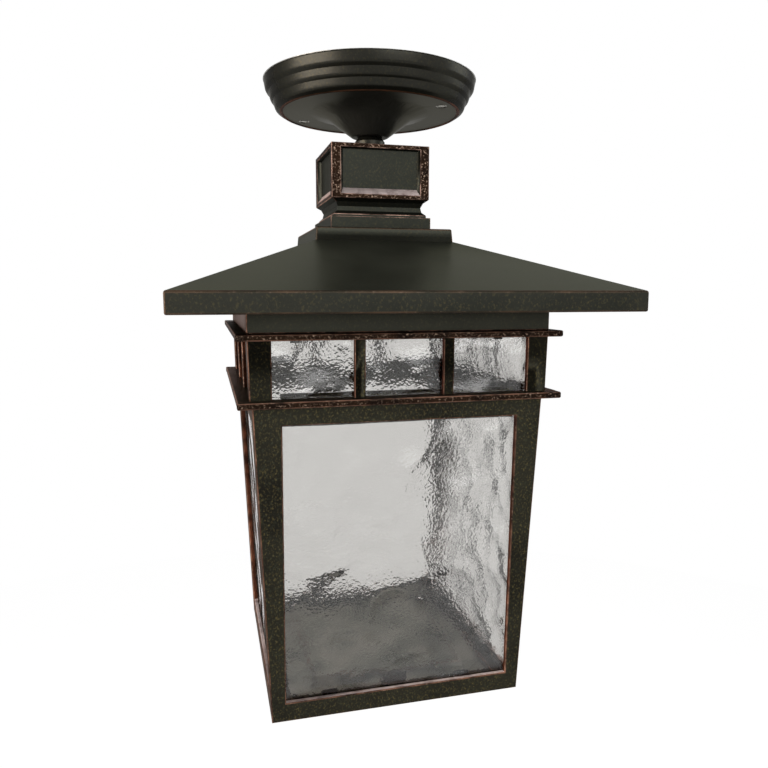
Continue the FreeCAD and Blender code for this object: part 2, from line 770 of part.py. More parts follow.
def make_wall(name, turn, full):
    """One wall casting, drawn as the front wall and turned to its side. The front and back walls are
    full, so their ledge and shelf run right across; the other two butt between them."""
    body = new_body(f"{name}_wall")
    add_plate(body)
    if full:
        trim_ends(body, 0, size("ledgeHalf"), size("bandTopHalf"))
    else:
        trim_ends(body, size("wallSkin"), size("bandTopHalf"), size("bandHalf") - size("wallSkin"))
    cut_lights(body)
    inner_lip = frame_inner(size("lipTop")) - size("lipReach")
    add_inner_rails(body, inner_lip if full else frame_inner(size("lipBase")) - size("slipGap"))
    add_tabs(body)
    screws = [(side * RETAINER_SCREW_ALONG, retainer_screw_depth()) for side in (-1, 1)]
    drill_face(body, screws, size("ribHalf"), RETAINER_TAP)
    drill_lip(body)
    if full:
        for half, depth, end in corner_screw_places():
            drill_face(body, [(half, depth), (-half, depth)], end - OVERLAP, CORNER_TAP + OVERLAP)
    else:
        add_corner_lugs(body)
    if name == "back":
        add_hinge_ears(body)
    return turned(body, turn)


# Glass and what holds it.

GLASS_END = 0.3
GLASS_SEAT = 0.05
GLASS_TOP = 1.4


def make_upper_glass(side, turn, full):
    """One strip of glass behind the band's three lights, standing on the shelf."""
    body = new_body(f"{side}_upper_glass")
    face = size("bandHalf") - size("wallSkin") - size("glassGap")
    inner = face - size("glassThick")
    length = (face if full else inner) - GLASS_END
    add_side_profile(body, [
        (face, size("ledgeBase") + size("glassGap")),
        (face, size("shelfTop") - GLASS_SEAT),
        (inner, size("shelfTop") - GLASS_SEAT),
        (inner, size("ledgeBase") + size("glassGap")),
    ], length)
    return turned(body, turn)


def make_lower_glass(side, turn, full):
    """One lower pane, leaning with the tapered frame and standing on the lip."""
    body = new_body(f"{side}_lower_glass")
    gap, thick = size("glassGap"), size("glassThick")
    top, base = size("ribBase") + GLASS_TOP, size("lipTop") - GLASS_SEAT
    narrow = frame_inner(base) - gap
    length = (narrow if full else narrow - thick) - GLASS_END
    add_side_profile(body, [
        (frame_inner(top) - gap, top),
        (frame_inner(base) - gap, base),
        (frame_inner(base) - gap - thick, base),
        (frame_inner(top) - gap - thick, top),
    ], length)
    return turned(body, turn)


RETAINER_HALF = 62.5
RETAINER_THICK = 1.0
RETAINER_RISE = 7.0
RETAINER_FOLD = 0.3
RETAINER_TOE = 1.4


def make_retainer(side, turn):
    """Folded steel strip: its upper leg holds the glass strip, its lower leg the pane."""
    body = new_body(f"{side}_pane_retainer")
    upper, thick = size("ribHalf") - size("slipGap"), RETAINER_THICK
    fold, toe = size("ribBase") - RETAINER_FOLD, size("windowTop") + RETAINER_TOE
    lower = frame_inner(toe) - size("glassGap") - size("glassThick") - size("slipGap")
    add_side_profile(body, [
        (upper, size("shelfTop") - RETAINER_RISE),
        (upper, fold + thick),
        (lower, fold + thick),
        (lower, toe),
        (lower - thick, toe),
        (lower - thick, fold),
        (upper - thick, fold),
        (upper - thick, size("shelfTop") - RETAINER_RISE),
    ], RETAINER_HALF)
    sketch = new_sketch(body, "XZ_Plane", upper + thick)
    for along in (-RETAINER_SCREW_ALONG, RETAINER_SCREW_ALONG):
        draw_screw_hole(sketch, (along, -retainer_screw_depth()), SMALL_SCREW)
    pocket(body, sketch, thick * 4)
    return turned(body, turn)


# Small screws and clips.

STEM_SCREW_LONG = 11.5
ROOF_SCREW_LONG = 8.0
WALL_SCREW_LONG = 8.5
STRAP_SCREW_LONG = 5.5
# Length, radius, head radius and head height of the smaller ones.
RETAINER_SCREW = (3.4, SMALL_SCREW, 2.2, 1.3)
CLIP_SCREW = (2.6, SMALL_SCREW, 1.9, 1.1)
CORNER_SCREW = (LUG_LONG + 2.5, SMALL_SCREW, 2.1, 1.4)

def bar(seat, direction, long, radius, sides=SCREW_SIDES):
    """Many-sided bar from seat, its first corner level so that it matches the sketched holes."""
    across = Vector(1, 0, 0) if abs(direction.z) > 0.5 else Vector(-direction.y, direction.x, 0)
    corners = []
    for number in range(sides + 1):
        turn = FreeCAD.Rotation(direction, 360 / sides * number)
        corners.append(seat + turn.multVec(across * radius))
    return Part.Face(Part.makePolygon(corners)).extrude(direction * long)


def screw_shape(seat, direction, long, radius, head, high, sides):
    """A screw or rivet: seat is the underside of its head and direction the way it is driven."""
    return bar(seat, direction, long, radius).fuse(bar(seat, -direction, high, head, sides))


def make_screws(label, places, long, radius=None, head=None, high=None, sides=6):
    """All screws of one kind, as separate solids in one part. Each place is (seat, direction)."""
    radius = DIMENSIONS["screwRadius"] if radius is None else radius
    head = DIMENSIONS["screwHead"] if head is None else head
    high = DIMENSIONS["screwHeadHigh"] if high is None else high
    feature = doc.addObject("Part::Feature", label)
    feature.Label = label
    shapes = [screw_shape(seat, direction, long, radius, head, high, sides) for seat, direction in places]
    feature.Shape = shapes[0] if len(shapes) == 1 else Part.makeCompound(shapes)
    return feature


UP = Vector(0, 0, 1)
DOWN = Vector(0, 0, -1)


def spun(vector, turn):
    """The vector turned about the lantern's axis."""
    return FreeCAD.Rotation(Vector(0, 0, 1), turn).multVec(vector)


def make_stem_screws():
    seat = -(size("plinthTop") + size("roofSkin")).value
    places = [(Vector(x, y, seat), UP) for x, y in quarter_points(STEM_SCREW_PLACE)]
    return make_screws("stem_screws", places, STEM_SCREW_LONG)


def make_roof_screws():
    seat = -(size("neckTop") + size("neckSkin")).value
    places = [(Vector(x, y, seat), UP) for x, y in quarter_points(ROOF_SCREW_PLACE)]
    return make_screws("roof_screws", places, ROOF_SCREW_LONG)


def make_wall_screws():
    seat = -DIMENSIONS["ledgeBase"]
    places = [(Vector(x, y, seat), UP) for x, y in wall_screw_points()]
    return make_screws("wall_screws", places, WALL_SCREW_LONG)


def make_retainer_screws():
    face = -(DIMENSIONS["ribHalf"] - DIMENSIONS["slipGap"] - RETAINER_THICK)
    depth = -retainer_screw_depth().value
    places = []
    for side, turn, full in SIDES:
        for along in (-RETAINER_SCREW_ALONG, RETAINER_SCREW_ALONG):
            places.append((spun(Vector(along, face, depth), turn), spun(Vector(0, -1, 0), turn)))
    return make_screws("retainer_screws", places, *RETAINER_SCREW)


def make_clip_screws():
    out = -clip_screw_half().value
    places = []
    for side, turn, full in SIDES:
        for along in (-CLIP_ALONG, CLIP_ALONG):
            places.append((spun(Vector(along, out, CLIP_THICK - DIMENSIONS["lipTop"]), turn), DOWN))
    return make_screws("glass_clip_screws", places, *CLIP_SCREW)


def make_corner_screws():
    """From inside, along each side wall's lugs into the front and back walls."""
    places = []
    for top, base, outer, inner, end in corner_lugs():
        height = -((top + base) / 2).value
        half = ((outer + inner) / 2).value
        for x in (-half, half):
            for way in (-1, 1):
                places.append((Vector(x, way * (end.value - LUG_LONG), height), Vector(0, way, 0)))
    return make_screws("corner_screws", places, *CORNER_SCREW)


CLIP_THICK = 0.8
CLIP_HALF = 4.0
CLIP_HIGH = 4.4
CLIP_TOE = 0.3


def make_glass_clips():
    """Eight small angles on the lips, two to a pane, that keep its lower edge against the frame."""
    feature = doc.addObject("Part::Feature", "glass_clips")
    feature.Label = "glass_clips"
    lip = -DIMENSIONS["lipTop"]
    back = (frame_inner(size("lipTop")) - size("glassGap") - size("glassThick") - size("slipGap")).value
    inner = (frame_inner(size("lipTop")) - size("lipReach")).value + CLIP_TOE
    clips = []
    for side, turn, full in SIDES:
        for along in (-CLIP_ALONG, CLIP_ALONG):
            corner = Vector(along - CLIP_HALF, -back, lip)
            foot = Part.makeBox(2 * CLIP_HALF, back - inner, CLIP_THICK, corner)
            leg = Part.makeBox(2 * CLIP_HALF, CLIP_THICK, CLIP_HIGH, corner)
            out = -clip_screw_half().value
            hole = bar(Vector(along, out, lip - OVERLAP), UP, MARGIN, SMALL_SCREW)
            clip = foot.fuse(leg).removeSplitter().cut(hole)
            clip.rotate(Vector(0, 0, 0), UP, turn)
            clips.append(clip)
    feature.Shape = Part.makeCompound(clips)
    return feature


# Lampholder.

GROUND_SCREW_ALONG = 13.0
STRAP_THICK = 1.5
STRAP_END = 6.0
STRAP_HALF = 8.0
STRAP_CORNER = 3.0


def make_strap():
    """Steel strap across the roof's two bosses that carries the lampholder."""
    body = new_body("socket_strap")
    sketch = new_sketch(body, "XY_Plane", -(STRAP_TOP + STRAP_THICK))
    end, half, corner = STRAP_SCREW_PLACE + STRAP_END, STRAP_HALF, STRAP_CORNER
    draw_outline(sketch, [
        (-end, corner - half),
        (corner - end, -half),
        (end - corner, -half),
        (end, corner - half),
        (end, half - corner),
        (end - corner, half),
        (corner - end, half),
        (-end, half - corner),
    ])
    draw_circle(sketch, (0, 0), size("nippleRadius"))
    for along in (-STRAP_SCREW_PLACE, GROUND_SCREW_ALONG, STRAP_SCREW_PLACE):
        draw_screw_hole(sketch, (along, 0), size("screwRadius"))
    pad(body, sketch, STRAP_THICK)
    return body


def make_strap_screws():
    seat = -(STRAP_TOP + STRAP_THICK)
    places = [(Vector(x, 0, seat), UP) for x in (-STRAP_SCREW_PLACE, STRAP_SCREW_PLACE)]
    return make_screws("strap_screws", places, STRAP_SCREW_LONG)


def make_socket_body():
    """Glazed porcelain lampholder: a domed cap, a waist and a barrel round the screw shell."""
    body = new_body("socket_body")
    sketch = new_sketch(body, "XZ_Plane")
    top, base, wide = size("socketTop"), size("socketBase"), size("socketRadius")
    barrel, shell = size("barrelRadius"), size("shellBore") + size("shellSkin")
    draw_outline(sketch, [
        (size("nippleRadius"), -top),
        (size("capRadius"), -top),
        (wide, -(top + size("capSlope"))),
        (wide, -(top + size("capDepth"))),
        (barrel, -(top + size("waistDepth"))),
        (barrel, -base),
        (shell, -base),
        (shell, -(top + size("socketFloor"))),
        (size("nippleRadius"), -(top + size("socketFloor"))),
    ])
    revolve(body, sketch)
    return body


def make_socket_shell():
    """Brass screw shell in the lampholder's mouth."""
    body = new_body("socket_shell")
    outer = size("shellBore") + size("shellSkin")
    disc(body, outer, size("shellTop"), size("shellEnd"), size("shellBore"))
    return body


def make_socket_contact():
    """Centre contact: a brass disc on the lampholder's floor."""
    body = new_body("socket_contact")
    floor = size("socketTop") + size("socketFloor")
    disc(body, size("contactRadius"), floor, floor + size("contactThick"))
    return body


# Bottom door.

DOOR_CLIP = 13.5
DOOR_CORNER = 9.0
KNUCKLES = ((-37.0, -24.3), (-15.7, 15.7), (24.3, 37.0))
CATCH_HALF = 7.0
CATCH_THICK = 0.5
CATCH_HIGH = 5.0
CATCH_FOOT = 8.0
CATCH_GAP = 0.5
CATCH_RIVETS = (-4.0, 4.0)
CATCH_RIVET_IN = 4.5
CATCH_RIVET = (CATCH_THICK + DIMENSIONS["doorThick"], SMALL_SCREW, 1.8, 0.8, SCREW_SIDES)


def make_door():
    """Pressed pan that closes the cage: clipped corners clear the walls' lugs, a raised middle stiffens
    it, and three knuckles along its back edge take the hinge pin."""
    body = new_body("bottom_door")
    top, thick = size("doorTop"), size("doorThick")
    half, edge = size("doorHalf"), size("doorEdge")
    sketch = new_sketch(body, "XY_Plane", -(top + thick))
    draw_outline(sketch, [
        (DOOR_CLIP - half, -half),
        (half - DOOR_CLIP, -half),
        (half, DOOR_CLIP - half),
        (half, edge - DOOR_CORNER),
        (half - DOOR_CORNER, edge),
        (DOOR_CORNER - half, edge),
        (-half, edge - DOOR_CORNER),
        (-half, DOOR_CLIP - half),
    ])
    pad(body, sketch, thick)
    # the raised middle, sunk from below by as much
    rise, slope, inner = 2.4, 3.0, 47.0
    loft(body, [square_sketch(body, inner, top), square_sketch(body, inner - slope, top - rise)])
    loft(body, [square_sketch(body, inner - thick, top + thick),
                square_sketch(body, inner - slope - thick, top + thick - rise)], "SubtractiveLoft")
    out, low, round_ = size("hingeY"), size("hingeZ"), size("knuckleRadius")
    for start, end in KNUCKLES:
        web = new_sketch(body, "XY_Plane", -(top + thick))
        draw_box(web, (start, edge - OVERLAP), (end, out))
        pad(body, web, thick)
        knuckle = new_sketch(body, "YZ_Plane", start)
        draw_circle(knuckle, (out, -low), round_)
        pad(body, knuckle, end - start)
    bore = new_sketch(body, "YZ_Plane")
    draw_circle(bore, (out, -low), size("pinRadius") + size("runningGap"))
    pocket(body, bore, symmetric=True)
    pocket(body, holes_sketch(body, catch_rivet_points(), top, SMALL_SCREW), thick)
    return body


def catch_line():
    """Half width of the catch's leaf, just inside the front lip's edge."""
    return frame_inner(size("lipTop")) - size("lipReach") - CATCH_GAP


def catch_rivet_points():
    """Where the catch is riveted to the door."""
    return [(x, -(catch_line() - CATCH_RIVET_IN)) for x in CATCH_RIVETS]


def make_catch():
    """Leaf spring riveted to the door; its leaf bears on the edge of the front lip."""
    body = new_body("door_catch")
    thick, leaf = CATCH_THICK, catch_line()
    add_side_profile(body, [
        (leaf, size("lipTop") - CATCH_HIGH),
        (leaf, size("doorTop")),
        (leaf - CATCH_FOOT, size("doorTop")),
        (leaf - CATCH_FOOT, size("doorTop") - thick),
        (leaf - thick, size("doorTop") - thick),
        (leaf - thick, size("lipTop") - CATCH_HIGH),
    ], CATCH_HALF)
    rivets = holes_sketch(body, catch_rivet_points(), size("doorTop"), SMALL_SCREW)
    pocket(body, rivets, thick * 4, reversed_=True)
    return body


def make_catch_rivets():
    seat = CATCH_THICK - DIMENSIONS["doorTop"]
    places = [(Vector(x, y.value, seat), DOWN) for x, y in catch_rivet_points()]
    return make_screws("catch_rivets", places, *CATCH_RIVET)


PIN_HALF = 38.0


def make_hinge_pin():
    """Steel pin through the back wall's ears and the door's knuckles."""
    body = new_body("hinge_pin")
    sketch = new_sketch(body, "YZ_Plane", -PIN_HALF)
    draw_circle(sketch, (size("hingeY"), -size("hingeZ")), size("pinRadius"))
    pad(body, sketch, PIN_HALF * 2)
    return body


# The whole lantern.

washer_top = size("bellDepth") - size("canopySkin") - size("washerThick")
hanger_top = size("stemTop") + size("stemPlate") + size("slipGap")
parts = [
    make_canopy(),
    make_tube("threaded_nipple", size("nippleTop"), size("nippleEnd")),
    make_washer("canopy_washer", washer_top),
    make_nut("canopy_nut", washer_top - size("nutHeight")),
    make_collar(),
    make_washer("hanger_washer", hanger_top),
    make_nut("hanger_nut", hanger_top + size("washerThick")),
    make_stem(),
    make_stem_screws(),
    make_roof(),
    make_cage_top(),
    make_roof_screws(),
    make_wall_screws(),
]
for side, turn, full in SIDES:
    parts.append(make_wall(side, turn, full))
    parts.append(make_upper_glass(side, turn, full))
    parts.append(make_lower_glass(side, turn, full))
    parts.append(make_retainer(side, turn))
parts += [
    make_retainer_screws(),
    make_glass_clips(),
    make_clip_screws(),
    make_corner_screws(),
    make_strap(),
    make_strap_screws(),
    make_screws("ground_screw", [(Vector(GROUND_SCREW_ALONG, 0, -STRAP_TOP), DOWN)], STRAP_THICK),
    make_tube("socket_nipple", size("socketNippleTop"), size("socketNippleEnd")),
    make_nut("socket_nut", as_size(STRAP_TOP) - size("nutHeight")),
    make_socket_body(),
    make_socket_shell(),
    make_socket_contact(),
    make_hinge_pin(),
    make_door(),
    make_catch(),
    make_catch_rivets(),
]
doc.recompute()

for item in doc.Objects:
    if "Invalid" in item.State or "Error" in item.State:
        raise ValueError(f"{item.Name} failed: {item.State}")
for part in parts:
    if part.Shape.isNull() or not part.Shape.isValid():
        raise ValueError(f"{part.Label} has no valid shape")
os.makedirs("parts", exist_ok=True)
for part in parts:
    part.Shape.exportStep(f"parts/{part.Label}.step")
    print(part.Label, "volume", round(part.Shape.Volume), "solids", len(part.Shape.Solids))
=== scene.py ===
import json
import math

import bmesh
import bpy
from mathutils import Euler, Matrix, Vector


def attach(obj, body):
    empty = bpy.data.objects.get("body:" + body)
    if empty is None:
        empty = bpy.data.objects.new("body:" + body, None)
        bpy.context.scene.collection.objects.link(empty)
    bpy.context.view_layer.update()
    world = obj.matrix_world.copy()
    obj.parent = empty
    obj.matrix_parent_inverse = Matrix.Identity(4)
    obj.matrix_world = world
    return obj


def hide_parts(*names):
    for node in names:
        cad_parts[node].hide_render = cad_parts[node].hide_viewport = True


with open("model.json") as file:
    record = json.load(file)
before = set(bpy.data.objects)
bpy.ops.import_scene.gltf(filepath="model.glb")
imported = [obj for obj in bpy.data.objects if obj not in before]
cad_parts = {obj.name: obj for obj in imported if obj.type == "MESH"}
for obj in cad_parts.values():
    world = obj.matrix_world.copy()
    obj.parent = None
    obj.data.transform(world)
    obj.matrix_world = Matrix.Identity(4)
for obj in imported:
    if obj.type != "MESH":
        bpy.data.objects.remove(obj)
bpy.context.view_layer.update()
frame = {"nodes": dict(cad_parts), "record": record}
nodes = frame["nodes"]
print("lantern solids loaded:", len(nodes))


def srgb(code):  # "#rrggbb" as seen on a screen, to the linear colour that Blender works in
    parts = [int(code[i:i + 2], 16) / 255 for i in (1, 3, 5)]
    return [p / 12.92 if p <= 0.04045 else ((p + 0.055) / 1.055) ** 2.4 for p in parts] + [1]


def addNode(tree, kind, inputs=None, **settings):
    node = tree.nodes.new(kind)
    for name, value in settings.items():
        setattr(node, name, value)
    for name, value in (inputs or {}).items():
        if isinstance(value, bpy.types.NodeSocket):
            tree.links.new(value, node.inputs[name])
        else:
            node.inputs[name].default_value = value
    return node


def addObject(name, data):
    made = bpy.data.objects.new(name, data)
    bpy.context.scene.collection.objects.link(made)
    return made


def newMaterial(name):
    material = bpy.data.materials.new(name)
    material.use_nodes = True
    material.node_tree.nodes.clear()
    return material, material.node_tree


# pattern sizes are in metres and give one blotch, fleck or dimple; a noise's blotch is half its period
# the sand's grain, about 0.3 mm, is drawn at 0.8 mm and its rubbed flecks at 0.5 mm, so that they show

castLook = {"dark": "#1c1c18", "lighter": "#292922", "gold": "#70653f", "green": "#4a4f3e",
            "glance": "#a07c68", "cloud": 0.02, "cloudEdge": (0.38, 0.64), "glossEdge": (0.3, 0.7),
            "roughness": (0.38, 0.52), "fleck": 0.0005, "fleckEdge": (0.54, 0.74), "goldShare": 0.45,
            "greenShare": 0.35, "greenShift": 0.3, "brushTurn": (0.6, 0.5, 0.4), "brushPull": (1, 1, 0.75),
            "grain": 0.0008, "grainDepth": 0.0003, "bump": 0.3, "metallic": 0.85}
# filed or spun faces are smoother than the cast walls; slopes, underside and pan are painted paler than the
# rest: a painted sheen of light from above on the slopes, painted light on the canopy's underside and on the
# pan seen through the glass
smoothLook = {**castLook, "dark": "#272823", "lighter": "#35362f", "cloud": 0.035, "goldShare": 0.1,
              "greenShare": 0.1, "glance": "#8f8f86", "bump": 0.1, "roughness": (0.36, 0.48)}
# painted sheen: the upward roof slopes are painted paler, standing in for light falling on them from above
slopePaintedSheenLook = {**smoothLook, "dark": "#31332d", "lighter": "#40423a", "glance": "#b4b4aa"}
fasciaLook = {**smoothLook, "dark": "#20211d", "lighter": "#2b2b26", "goldShare": 0.18, "fleck": 0.0006}
stemLook = {**smoothLook, "dark": "#1f201c", "lighter": "#2a2b26"}
spunLook = {**smoothLook, "dark": "#22221e", "lighter": "#2d2c28", "glance": "#9d9c98",
            "roughness": (0.28, 0.36)}
# painted light: the canopy's downward faces are painted paler, standing in for light that reaches them
undersidePaintedLightLook = {**spunLook, "dark": "#484742", "lighter": "#5a5953"}
neckLook = {**smoothLook, "glance": "#b08a78"}
# painted light: the pan's upper side is painted pale grey, standing in for the light seen on it through the
# glass
panPaintedLightLook = {**smoothLook, "dark": "#62625b", "lighter": "#918d84", "cloud": 0.012, "roughness": (0.25, 0.4)}


def oilRubbedBronze(name, look):
    # cast bronze under a dark oil patina: satin green-black, dim flecks where the sand's grain is rubbed; the
    # slope, underside and pan looks paint light into its colour
    material, tree = newMaterial(name)
    place = addNode(tree, "ShaderNodeTexCoord").outputs["Object"]
    cloud = addNode(tree, "ShaderNodeTexNoise", {"Vector": place, "Scale": 0.5 / look["cloud"], "Detail": 3})
    tone = addNode(tree, "ShaderNodeMapRange", {
        "Value": cloud.outputs["Fac"], "From Min": look["cloudEdge"][0], "From Max": look["cloudEdge"][1]})
    patina = addNode(tree, "ShaderNodeMix", {
        0: tone.outputs[0], 6: srgb(look["dark"]), 7: srgb(look["lighter"])}, data_type="RGBA")
    brushed = addNode(tree, "ShaderNodeMapping", {
        "Vector": place, "Rotation": look["brushTurn"], "Scale": look["brushPull"]})
    for colour, share, shift in (("green", "greenShare", look["greenShift"]), ("gold", "goldShare", 0)):
        apart = addNode(tree, "ShaderNodeVectorMath", {
            0: brushed.outputs[0], 1: (shift, shift, shift)}, operation="ADD")
        fleck = addNode(tree, "ShaderNodeTexNoise", {
            "Vector": apart.outputs[0], "Scale": 0.5 / look["fleck"], "Detail": 2, "Roughness": 0.65})
        amount = addNode(tree, "ShaderNodeMapRange", {
            "Value": fleck.outputs["Fac"], "From Min": look["fleckEdge"][0],
            "From Max": look["fleckEdge"][1], "To Max": look[share]})
        patina = addNode(tree, "ShaderNodeMix", {
            0: amount.outputs[0], 6: patina.outputs[2], 7: srgb(look[colour])}, data_type="RGBA")
    rough = addNode(tree, "ShaderNodeMapRange", {
        "Value": cloud.outputs["Fac"], "From Min": look["glossEdge"][0], "From Max": look["glossEdge"][1],
        "To Min": look["roughness"][0], "To Max": look["roughness"][1]})
    grain = addNode(tree, "ShaderNodeTexNoise", {"Vector": place, "Scale": 0.5 / look["grain"], "Detail": 3})
    bump = addNode(tree, "ShaderNodeBump", {
        "Height": grain.outputs["Fac"], "Strength": look["bump"], "Distance": look["grainDepth"]})
    metal = addNode(tree, "ShaderNodeBsdfPrincipled", {
        "Base Color": patina.outputs[2], "Metallic": look["metallic"], "Roughness": rough.outputs[0],
        "Normal": bump.outputs[0], "Specular Tint": srgb(look["glance"])})
    addNode(tree, "ShaderNodeOutputMaterial", {"Surface": metal.outputs[0]})
    return material


edgeLook = {"dark": "#221915", "bright": "#664a3d", "fleck": "#b59a88", "glance": "#c8a796", "patch": 0.004,
            "rubbed": 0.5, "rubbedBlend": 0.14, "chip": 0.0008, "chipEdge": (0.55, 0.72), "fleckShare": 0.35,
            "bump": 0.5, "bumpDepth": 0.0002, "roughness": 0.42, "metallic": 0.8}
# the stem's edges are rubbed most and the roof's least; rims stay dark with bright chips; the sills carry a
# painted highlight, a pale colour standing in for the light they reflect
stemEdgeLook = {**edgeLook, "dark": "#2a1e19", "bright": "#8a7064", "rubbed": 0.52, "patch": 0.003}
roofEdgeLook = {**edgeLook, "dark": "#25241e", "bright": "#43362b", "fleckShare": 0.1, "patch": 0.012}
rimLook = {**edgeLook, "dark": "#120c09", "bright": "#22170f", "fleck": "#b39884", "fleckShare": 0.55,
           "chip": 0.0006, "bumpDepth": 0.0006, "glance": "#7a5c4c"}
revealLook = {**edgeLook, "dark": "#2a160f", "bright": "#5e3626", "fleck": "#8a6a50", "fleckShare": 0.2}
# painted highlight: pale pinkish colours standing in for the light that the sills and bevels reflect
paintedHighlightLook = {**edgeLook, "dark": "#8f7d7a", "bright": "#cbbcb9", "fleck": "#efe6e4", "rubbed": 0.4,
                "patch": 0.003, "roughness": 0.32}
footLook = {**edgeLook, "dark": "#3c2c21", "bright": "#684a38", "fleckShare": 0.05, "patch": 0.01,
            "glance": "#6a5446"}


def rubbedCopper(name, look):
    # edges where brush and hand have taken the patina off: copper in soft patches, with bright chips; with
    # the pale sill look it paints a highlight instead
    material, tree = newMaterial(name)
    place = addNode(tree, "ShaderNodeTexCoord").outputs["Object"]
    patch = addNode(tree, "ShaderNodeTexNoise", {"Vector": place, "Scale": 0.5 / look["patch"], "Detail": 3})
    chip = addNode(tree, "ShaderNodeTexNoise", {
        "Vector": place, "Scale": 0.5 / look["chip"], "Detail": 3, "Roughness": 0.65})
    rubbed = addNode(tree, "ShaderNodeMapRange", {
        "Value": patch.outputs["Fac"], "From Min": look["rubbed"] - look["rubbedBlend"],
        "From Max": look["rubbed"] + look["rubbedBlend"]})
    copper = addNode(tree, "ShaderNodeMix", {
        0: rubbed.outputs[0], 6: srgb(look["dark"]), 7: srgb(look["bright"])}, data_type="RGBA")
    amount = addNode(tree, "ShaderNodeMapRange", {
        "Value": chip.outputs["Fac"], "From Min": look["chipEdge"][0], "From Max": look["chipEdge"][1],
        "To Max": look["fleckShare"]})
    copper = addNode(tree, "ShaderNodeMix", {
        0: amount.outputs[0], 6: copper.outputs[2], 7: srgb(look["fleck"])}, data_type="RGBA")
    bump = addNode(tree, "ShaderNodeBump", {
        "Height": chip.outputs["Fac"], "Strength": look["bump"], "Distance": look["bumpDepth"]})
    metal = addNode(tree, "ShaderNodeBsdfPrincipled", {
        "Base Color": copper.outputs[2], "Metallic": look["metallic"], "Roughness": look["roughness"],
        "Normal": bump.outputs[0], "Specular Tint": srgb(look["glance"])})
    addNode(tree, "ShaderNodeOutputMaterial", {"Surface": metal.outputs[0]})
    return material


hardware = {
    "steel": {"colour": "#b0aea6", "dull": "#8f8e88", "roughness": 0.35, "metallic": 1.0, "marks": 0.004},
    "dark": {"colour": "#2b2c29", "dull": "#1d1e1b", "roughness": 0.45, "metallic": 0.9, "marks": 0.003},
    "ground": {"colour": "#1f5a30", "dull": "#184a27", "roughness": 0.4, "metallic": 0.4, "marks": 0.002},
    "brass": {"colour": "#d0ab62", "dull": "#b18c4a", "roughness": 0.3, "metallic": 1.0, "marks": 0.005},
}
handled = {"glossier": 0.06, "duller": 0.1}


def plainMetal(name, look):
    # turned, stamped or plated hardware: one colour, with handling marks in its gloss
    material, tree = newMaterial(name)
    place = addNode(tree, "ShaderNodeTexCoord").outputs["Object"]
    marks = addNode(tree, "ShaderNodeTexNoise", {"Vector": place, "Scale": 0.5 / look["marks"], "Detail": 2})
    rough = addNode(tree, "ShaderNodeMapRange", {
        "Value": marks.outputs["Fac"], "To Min": look["roughness"] - handled["glossier"],
        "To Max": look["roughness"] + handled["duller"]})
    tone = addNode(tree, "ShaderNodeMix", {
        0: marks.outputs["Fac"], 6: srgb(look["colour"]), 7: srgb(look["dull"])}, data_type="RGBA")
    metal = addNode(tree, "ShaderNodeBsdfPrincipled", {
        "Base Color": tone.outputs[2], "Metallic": look["metallic"], "Roughness": rough.outputs[0]})
    addNode(tree, "ShaderNodeOutputMaterial", {"Surface": metal.outputs[0]})
    return material


porcelainLook = {"glaze": "#f0eee6", "fired": "#e6e2d6", "cloud": 0.008, "roughness": 0.35, "coat": 0.8,
                 "coatRoughness": 0.06}


def glazedPorcelain():
    # fired white clay under a clear glaze: bright, with a sharp small highlight
    material, tree = newMaterial("glazedPorcelain")
    place = addNode(tree, "ShaderNodeTexCoord").outputs["Object"]
    cloud = addNode(tree, "ShaderNodeTexNoise", {"Vector": place, "Scale": 0.5 / porcelainLook["cloud"]})
    clay = addNode(tree, "ShaderNodeMix", {
        0: cloud.outputs["Fac"], 6: srgb(porcelainLook["glaze"]), 7: srgb(porcelainLook["fired"])},
        data_type="RGBA")
    body = addNode(tree, "ShaderNodeBsdfPrincipled", {
        "Base Color": clay.outputs[2], "Roughness": porcelainLook["roughness"],
        "Coat Weight": porcelainLook["coat"], "Coat Roughness": porcelainLook["coatRoughness"]})
    addNode(tree, "ShaderNodeOutputMaterial", {"Surface": body.outputs[0]})
    return material


glassLook = {"tint": "#e0dfdd", "dimple": 0.019, "smooth": 0.5, "dimpleCurve": 2.0, "dimpleDepth": 0.0034,
             "ripple": 0.0007, "rippleDepth": 0.00014, "roughness": 0.03, "ior": 1.5}


def hammeredGlass():
    # rolled soda-lime glass: shallow dishes pressed by the roller, and fine ripples all over them
    material, tree = newMaterial("hammeredGlass")
    place = addNode(tree, "ShaderNodeTexCoord").outputs["Object"]
    cells = addNode(tree, "ShaderNodeTexVoronoi", {
        "Vector": place, "Scale": 1 / glassLook["dimple"], "Smoothness": glassLook["smooth"]},
        feature="SMOOTH_F1")
    dish = addNode(tree, "ShaderNodeMath", {
        0: cells.outputs["Distance"], 1: glassLook["dimpleCurve"]}, operation="POWER")
    broad = addNode(tree, "ShaderNodeBump", {
        "Height": dish.outputs[0], "Strength": 1.0, "Distance": glassLook["dimpleDepth"]})
    ripples = addNode(tree, "ShaderNodeTexNoise", {
        "Vector": place, "Scale": 0.5 / glassLook["ripple"], "Detail": 1})
    fine = addNode(tree, "ShaderNodeBump", {
        "Height": ripples.outputs["Fac"], "Strength": 1.0, "Distance": glassLook["rippleDepth"],
        "Normal": broad.outputs[0]})
    pane = addNode(tree, "ShaderNodeBsdfPrincipled", {
        "Base Color": srgb(glassLook["tint"]), "Roughness": glassLook["roughness"], "IOR": glassLook["ior"],
        "Transmission Weight": 1.0, "Normal": fine.outputs[0]})
    addNode(tree, "ShaderNodeOutputMaterial", {"Surface": pane.outputs[0]})
    return material


